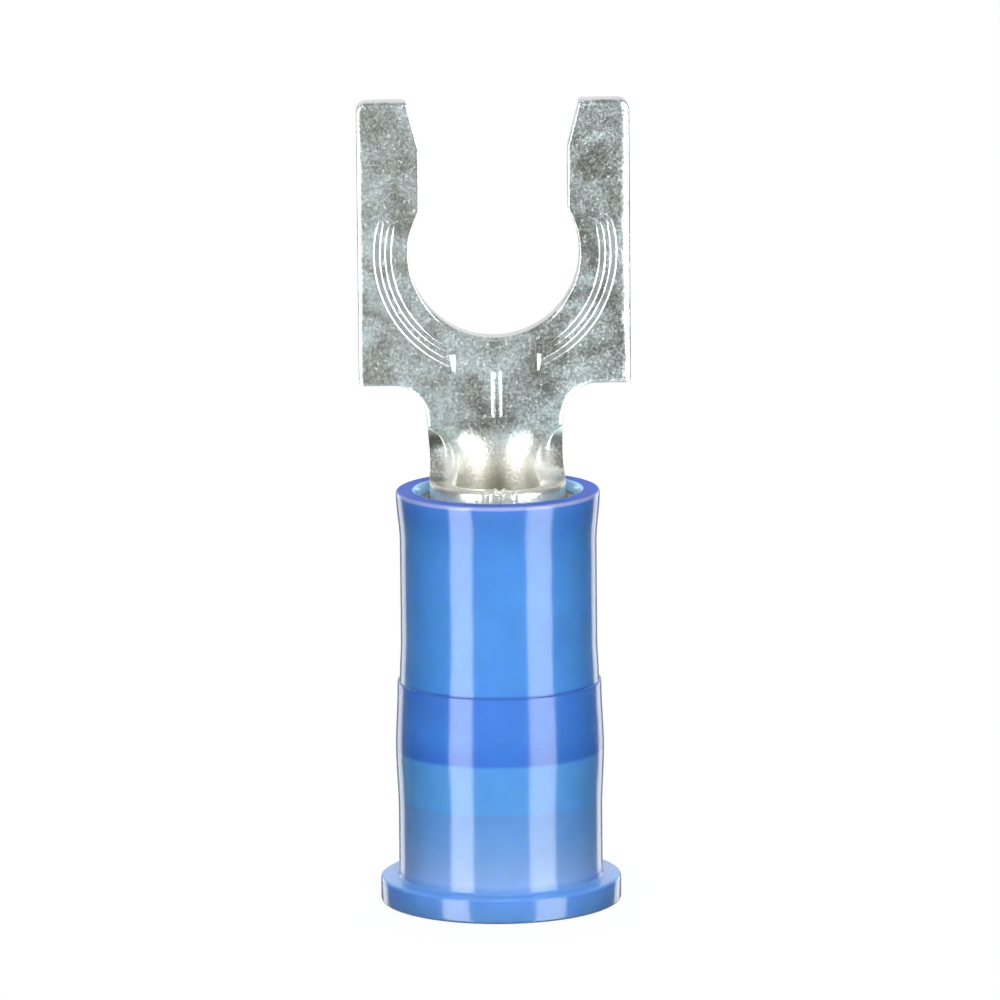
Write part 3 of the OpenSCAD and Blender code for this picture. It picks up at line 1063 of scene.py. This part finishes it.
def coinBlank(mesh):
    mesh = cutAway(mesh, groovePunches(), "groovePunches")
    punch = bmesh.new()
    middlePunch(punch)
    mesh = cutAway(mesh, punch, "middlePunch")
    for side in (-1, 1):
        punch = bmesh.new()
        endRampPunch(punch, side)
        mesh = cutAway(mesh, punch, "rampPunch")
    return mesh


def sliceBelow(blank, limit, spots, normal):
    # Cuts the faces below a height with parallel planes, so that they can bend
    for spot in spots:
        faces = [face for face in blank.faces if all(vert.co.z <= limit + 1e-4 for vert in face.verts)]
        edges = {edge for face in faces for edge in face.edges}
        verts = {vert for face in faces for vert in face.verts}
        geometry = faces + list(edges) + list(verts)
        place = Vector(normal) * spot
        bmesh.ops.bisect_plane(blank, geom=geometry, dist=1e-5, plane_co=place, plane_no=normal)


def serrationHeights():
    blank = forkBlank
    pitch = (blank["mouth"] - forkLow[2]) / (blank["serrations"] + 1)
    return [forkLow[2] + pitch * (index + 1) for index in range(blank["serrations"])]


def curlPoint(spot):
    # The sheet keeps its width while its section closes from a straight line to half a tube
    blank = forkBlank
    if spot.z >= blank["bend"] - 1e-6:
        return spot
    depth = backY - spot.y
    along = spot.x / barrelRadius
    share = min(1, (blank["bend"] - spot.z) / (blank["bend"] - blank["mouth"]))
    share = (share - blank["curlDelay"]) / (1 - blank["curlDelay"])
    if share <= 0:
        return spot
    eased = share * share / (share + blank["curlStart"]) * (1 + blank["curlStart"])
    fold = math.pi / 2 * eased ** blank["curlPower"]
    outer = barrelRadius / math.sin(fold)
    if share == 1 and depth > sheetThickness * blank["boreFace"]:
        for height in serrationHeights():
            if abs(spot.z - height) <= blank["serrationWidth"] / 2 + 1e-3:
                depth -= blank["serrationDepth"]
    if share == 1 and depth < sheetThickness * blank["outerFace"]:
        near = ease((abs(along) - blank["rippleStart"]) / blank["rippleFade"])
        across, upward = blank["rippleScale"]
        depth += blank["seamRipple"] * near * noise.noise((along * across, spot.z * upward, 4.0))
    radius = outer - depth
    return Vector((radius * math.sin(along * fold), backY - outer + radius * math.cos(along * fold), spot.z))


def curlBlank(mesh):
    blank = forkBlank
    sheet = bmesh.new()
    sheet.from_mesh(mesh)
    neck = blank["bend"] - blank["mouth"]
    rows = [blank["bend"]]
    for row in range(1, blank["curlRows"] + 1):
        rows.append(blank["bend"] - neck * (row / blank["curlRows"]) ** (1 / blank["curlPower"]))
    for height in serrationHeights():
        for side in (-1, 1):
            edge = height + side * blank["serrationWidth"] / 2
            rows += [edge, edge + side * blank["serrationRun"]]
    sliceBelow(sheet, 1e3, rows[:1], (0, 0, 1))
    sliceBelow(sheet, blank["bend"], rows[1:], (0, 0, 1))
    widest = 2 * barrelRadius
    columns = [step * blank["columnWidth"] for step in range(int(widest / blank["columnWidth"]) + 1)]
    fine = int(blank["seamReach"] / blank["seamColumnWidth"])
    columns += [widest - step * blank["seamColumnWidth"] for step in range(1, fine)]
    for side in (-1, 1):
        sliceBelow(sheet, blank["bend"], [side * column for column in columns], (1, 0, 0))
    for vert in sheet.verts:
        vert.co = curlPoint(vert.co.copy())
    return writeMesh(sheet, mesh)


forkMesh = curlBlank(coinBlank(stampBlank()))
forkMesh.materials.clear()
forkMesh.materials.append(tinMaterial)
forkMesh = finishMesh(forkMesh, forkBlank["sharpAngle"])
# Weighted normals keep flat faces flat beside their rounded edges
forkMesh = runModifier("forkShading", forkMesh, "WEIGHTED_NORMAL", {"keep_sharp": True})
print("fork stamped and curled:", len(forkMesh.polygons), "faces")

placePiece("fork", forkMesh, "fork_terminal")
placePiece("gripSleeve", sleeveMesh, "grip_sleeve")
placePiece("insulatorTube", insulatorMesh, "insulator")


# Studio: pale floor, two tall softboxes, panels in front, behind and above, and two edge panels

studio = {
    "aim": (0.064, 0.0, 11.962),
    "azimuth": -2.2,
    "elevation": 10.4,
    "roll": -0.505,
    "distance": 259.0,
    "lens": 317.6,
    "sensor": 36.0,
    "panelDistance": 200.0,
    # name: azimuth, elevation, width and height in degrees, radiance
    "panels": {
        "softboxLeft": (-46.3, -6.0, 26.6, 88.0, 6.0),
        "softboxRight": (46.5, -6.0, 31.0, 88.0, 5.4),
        "edgeLeft": (-151.0, -8.0, 17.0, 30.0, 1.8),
        "edgeRight": (147.0, -8.0, 17.0, 30.0, 1.9),
        "frontPanel": (-2.0, 30.0, 44.0, 36.0, 7.6),
        "backPanel": (180.0, 30.0, 44.0, 36.0, 4.6),
        "topPanel": (0.0, 85.0, 50.0, 50.0, 1.0),
    },
    "shineOnly": ("softboxLeft", "softboxRight"),
    "unmirrored": ("frontPanel", "backPanel", "topPanel"),
    "floorRadius": 70.0,
    "floorTone": (0.88, 0.88, 0.88, 1.0),
    "shadowReach": (3.5, 6.5),
    "shadowWhite": 0.9,
    # What mirrors see, by the direction's part along an axis
    "ambient": 0.05,
    "frontGrey": 0.315,
    "sideGrey": 0.08,
    "sideReach": (0.7, 0.88),
    "backdropReach": (0.6, 0.95),
    "horizon": (-0.12, 0.12),
    "tableReach": (-0.4, -0.75),
    "tableTone": 0.5,
    "ceilingReach": (0.84, 0.95),
}


def direction(azimuth, elevation):
    turn, lift = math.radians(azimuth), math.radians(elevation)
    return Vector((math.sin(turn) * math.cos(lift), -math.cos(turn) * math.cos(lift), math.sin(lift)))


def makeCamera():
    data = bpy.data.cameras.new("photoCamera")
    data.sensor_width, data.lens = studio["sensor"], studio["lens"]
    camera = linkObject("photoCamera", data)
    back = direction(studio["azimuth"], studio["elevation"])
    right = (-back).cross(Vector((0, 0, 1))).normalized()
    up = right.cross(-back)
    roll = math.radians(studio["roll"])
    turnedRight = right * math.cos(roll) + up * math.sin(roll)
    turnedUp = up * math.cos(roll) - right * math.sin(roll)
    eye = (Vector(studio["aim"]) + back * studio["distance"]) * metre
    axes = Matrix((turnedRight, turnedUp, back)).transposed()
    camera.matrix_world = Matrix.Translation(eye) @ axes.to_4x4()
    bpy.context.scene.camera = camera


def makePanels():
    centre = Vector(studio["aim"])
    reach = studio["panelDistance"]
    for name, (azimuth, elevation, width, height, radiance) in studio["panels"].items():
        data = bpy.data.lights.new(name, "AREA")
        data.shape = "RECTANGLE"
        data.size = 2 * reach * math.tan(math.radians(width / 2)) * metre
        data.size_y = 2 * reach * math.tan(math.radians(height / 2)) * metre
        data.energy = radiance * math.pi * data.size * data.size_y
        panel = linkObject(name, data)
        outward = direction(azimuth, elevation)
        panel.location = (centre + outward * reach) * metre
        panel.rotation_euler = outward.to_track_quat("Z", "Y").to_euler()
        panel.visible_camera = False
        panel.visible_diffuse = name not in studio["shineOnly"]
        panel.visible_glossy = name not in studio["unmirrored"]


def makeFloor():
    # White to the camera, apart from the object's soft shadow
    mesh = bpy.data.meshes.new("floor")
    ring = arcPoints((0, 0), studio["floorRadius"] * metre, 0, 354, 59)
    mesh.from_pydata([(x, y, 0) for x, y in ring], [], [list(range(len(ring)))])
    floor = linkObject("floor", mesh)
    material = bpy.data.materials.new("floorPaint")
    material.use_nodes = True
    tree = material.node_tree
    tree.nodes.clear()
    away = vectorCalc(tree, "LENGTH", addNode(tree, "ShaderNodeTexCoord").outputs["Object"])
    white = remap(tree, away, *(reach * metre for reach in studio["shadowReach"]), studio["shadowWhite"])
    rays = addNode(tree, "ShaderNodeLightPath").outputs
    paint = addNode(tree, "ShaderNodeBsdfDiffuse", {"Color": studio["floorTone"]})
    glow = addNode(tree, "ShaderNodeEmission", {"Color": (1.0, 1.0, 1.0, 1.0), "Strength": 1.0})
    seen = both(tree, white, rays["Is Camera Ray"])
    looks = {"Fac": seen, 1: paint.outputs["BSDF"], 2: glow.outputs["Emission"]}
    mixed = addNode(tree, "ShaderNodeMixShader", looks)
    addNode(tree, "ShaderNodeOutputMaterial", {"Surface": mixed.outputs["Shader"]})
    mesh.materials.append(material)
    # The walls mirror what lies below the horizon, so the floor stays out of reflections and lamp shadows
    floor.visible_glossy = False
    floor.visible_shadow = False
    floor.visible_diffuse = False


def makeWorld():
    # White to the camera; mirrors see white behind and overhead, a pale table below and a grey room in front
    world = bpy.data.worlds.new("studioWorld")
    bpy.context.scene.world = world
    world.use_nodes = True
    tree = world.node_tree
    view = addNode(tree, "ShaderNodeTexCoord").outputs["Generated"]
    sideways, depthwise, upright = splitAxes(tree, view)
    behind = remap(tree, depthwise, *studio["backdropReach"], interpolation_type="SMOOTHSTEP")
    above = remap(tree, upright, *studio["horizon"], interpolation_type="SMOOTHSTEP")
    table = remap(tree, upright, *studio["tableReach"], 0.0, studio["tableTone"])
    ends = calc(tree, "MAXIMUM", table, remap(tree, upright, *studio["ceilingReach"]))
    pale = calc(tree, "MAXIMUM", both(tree, behind, above), ends)
    aside = calc(tree, "ABSOLUTE", sideways)
    room = remap(tree, aside, *studio["sideReach"], studio["frontGrey"], studio["sideGrey"])
    mirrored = remap(tree, pale, 0.0, 1.0, room, 1.0)
    rays = addNode(tree, "ShaderNodeLightPath").outputs
    looking = calc(tree, "MAXIMUM", rays["Is Glossy Ray"], rays["Is Transmission Ray"])
    seen = addNode(tree, "ShaderNodeMix", {"Factor": looking, "A": studio["ambient"], "B": mirrored})
    shares = {"Factor": rays["Is Camera Ray"], "A": seen.outputs["Result"], "B": 1.0}
    shown = addNode(tree, "ShaderNodeMix", shares).outputs["Result"]
    feed(tree, tree.nodes["Background"], {"Color": (1.0, 1.0, 1.0, 1.0), "Strength": shown})


makeCamera()
makePanels()
makeFloor()
makeWorld()
bpy.context.scene.view_settings.view_transform = "Standard"
print("studio set")
